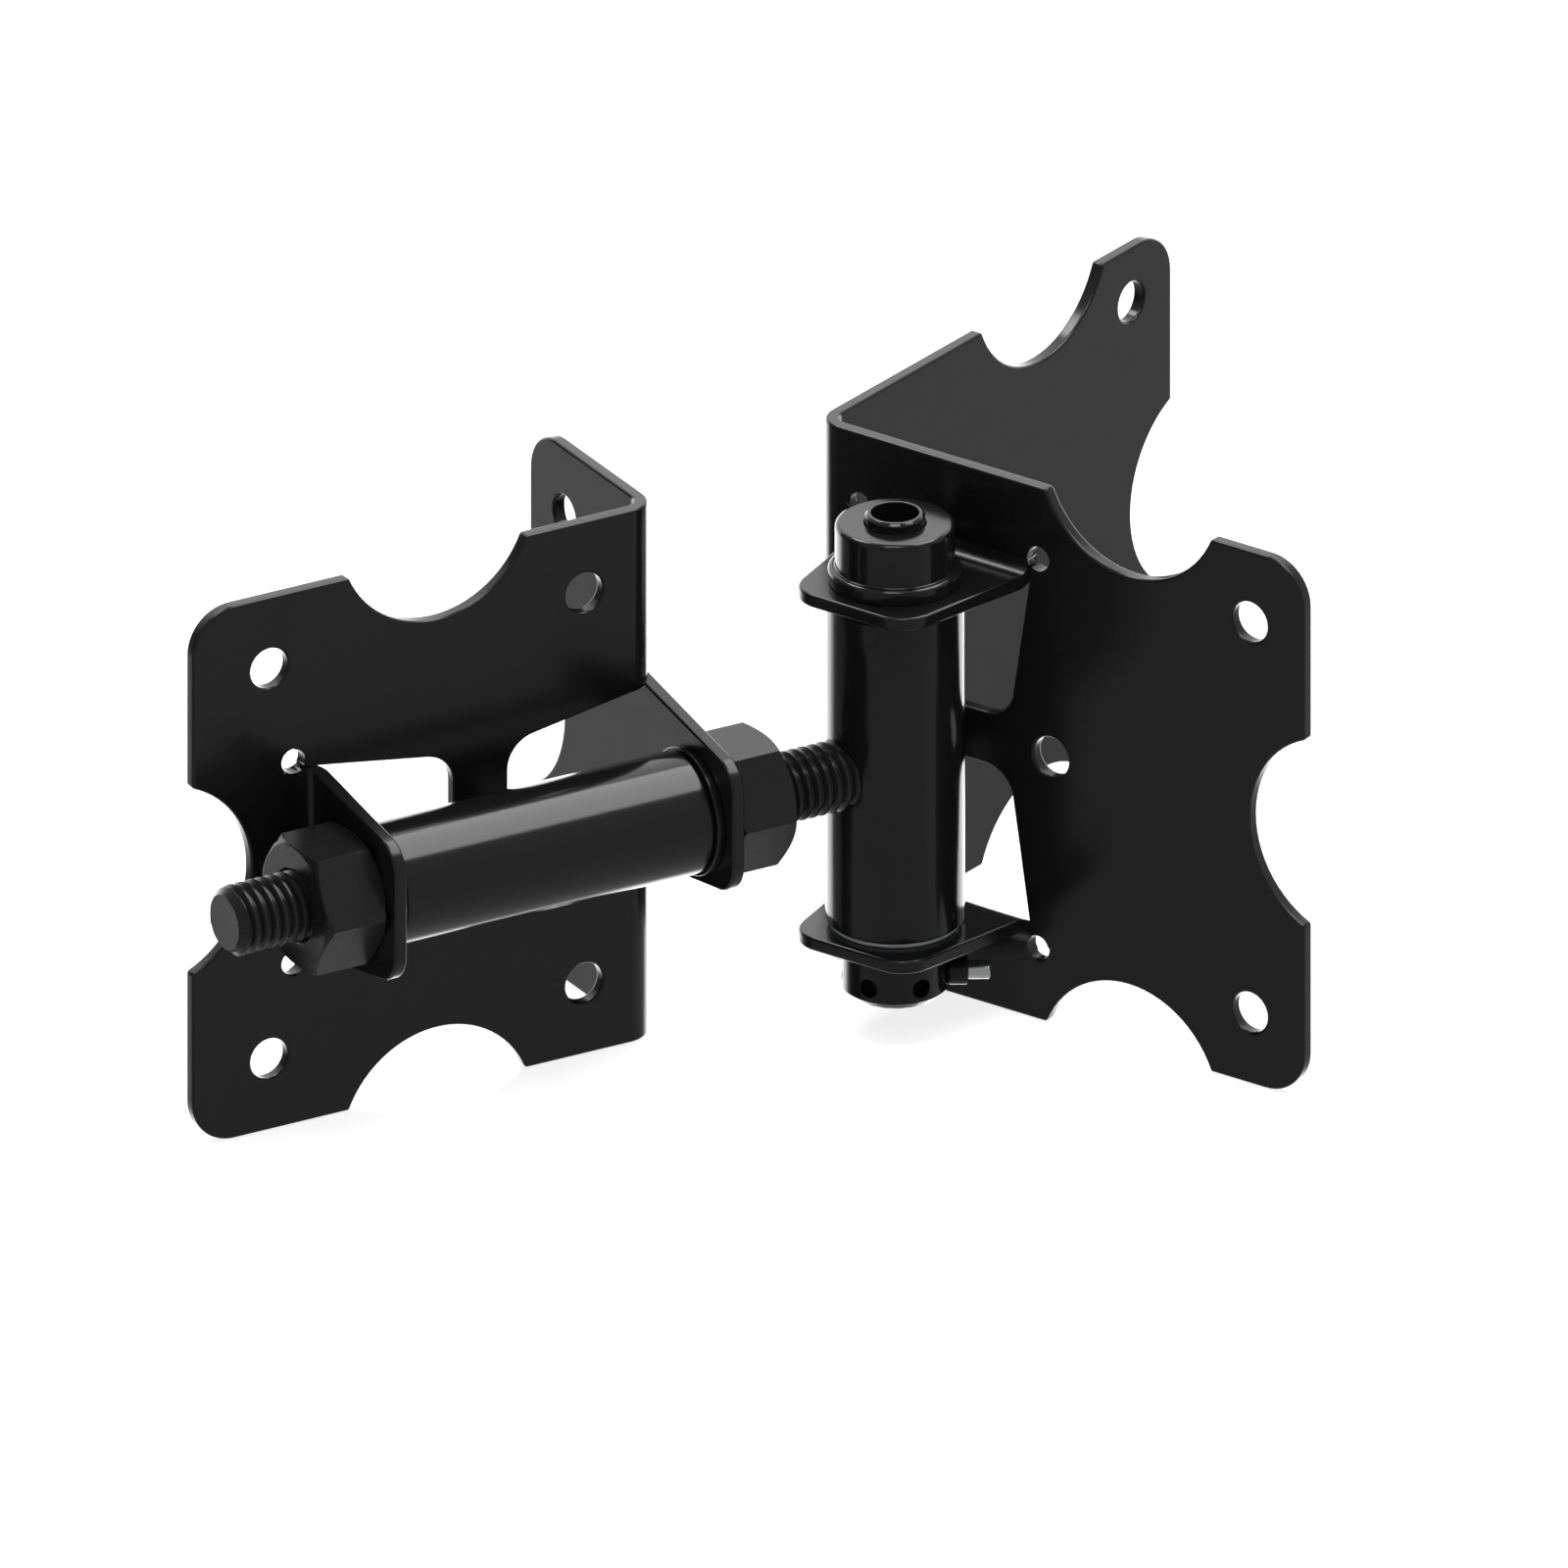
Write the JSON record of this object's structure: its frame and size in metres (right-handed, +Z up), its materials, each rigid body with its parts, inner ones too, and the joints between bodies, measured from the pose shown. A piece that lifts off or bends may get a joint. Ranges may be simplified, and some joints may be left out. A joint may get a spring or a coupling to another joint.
{
  "type": "adjustable self-closing gate hinge",
  "caption": "Adjustable self-closing gate hinge: folded angle brackets for post and gate, a sprung barrel and a threaded rod with hex nuts that set the gap",
  "frame": {"origin": "on the hinge axis, half way between the post bracket's two ears", "axes": "+Z up along the hinge axis, +X along the post plate from the corner to its free edge, the post plate faces -Y and its wing runs to +Y"},
  "size_m": [0.1468, 0.2444, 0.102],
  "materials": {
    "black_coat": "satin",
    "black_steel": "satin",
    "bright_steel": "polished",
    "spring_steel": "satin",
    "bearing_brass": "satin"
  },
  "bodies": {
    "post_side": {"post_bracket": "black_coat", "top_collar": "black_coat", "hinge_pin": "black_coat", "upper_ear_bush": "bearing_brass", "lower_ear_bush": "bearing_brass", "upper_thrust_washer": "bright_steel", "lower_thrust_washer": "bright_steel"},
    "barrel": {"barrel_tube": "black_coat", "upper_plug": "bearing_brass", "lower_plug": "bearing_brass", "torsion_spring": "spring_steel", "threaded_rod": "black_steel"},
    "tension_adjuster": {"tension_cap": "black_coat", "stop_peg": "bright_steel"},
    "gate_side": {"gate_bracket": "black_coat", "spacer_sleeve": "black_coat", "inner_sleeve_bush": "black_coat", "outer_sleeve_bush": "black_coat"},
    "inner_nut": {"inner_nut": "black_steel"},
    "outer_nut": {"outer_nut": "black_steel"}
  },
  "joints": [
    {"name": "gate_swing", "type": "hinge", "parent": "post_side", "child": "barrel", "pos_m": [0, 0, 0], "axis": [0, 0, 1], "range_deg": [-66.3, 103.7], "stiffness_Nm_per_rad": 0.8, "deforming": ["torsion_spring"]},
    {"name": "tension_turn", "type": "hinge", "parent": "post_side", "child": "tension_adjuster", "pos_m": [0, 0, -0.04], "axis": [0, 0, 1], "range_deg": [-270, 24]},
    {"name": "gap_adjust", "type": "slide", "parent": "barrel", "child": "gate_side", "axis": [-0.4019, -0.9157, 0], "range_m": [-0.0078, 0.0117]},
    {"name": "inner_nut_turn", "type": "hinge", "parent": "gate_side", "child": "inner_nut", "pos_m": [-0.01286, -0.0293, -0.0008], "axis": [-0.4019, -0.9157, 0], "range_deg": [-1440, 2160]},
    {"name": "outer_nut_turn", "type": "hinge", "parent": "gate_side", "child": "outer_nut", "pos_m": [-0.04622, -0.1053, -0.0008], "axis": [-0.4019, -0.9157, 0], "range_deg": [-1440, 2160]}
  ],
  "couplings": [
    {"joint": "inner_nut_turn", "follows": "gap_adjust", "rad_per_m": 3215.8},
    {"joint": "outer_nut_turn", "follows": "gap_adjust", "rad_per_m": 3215.8}
  ]
}
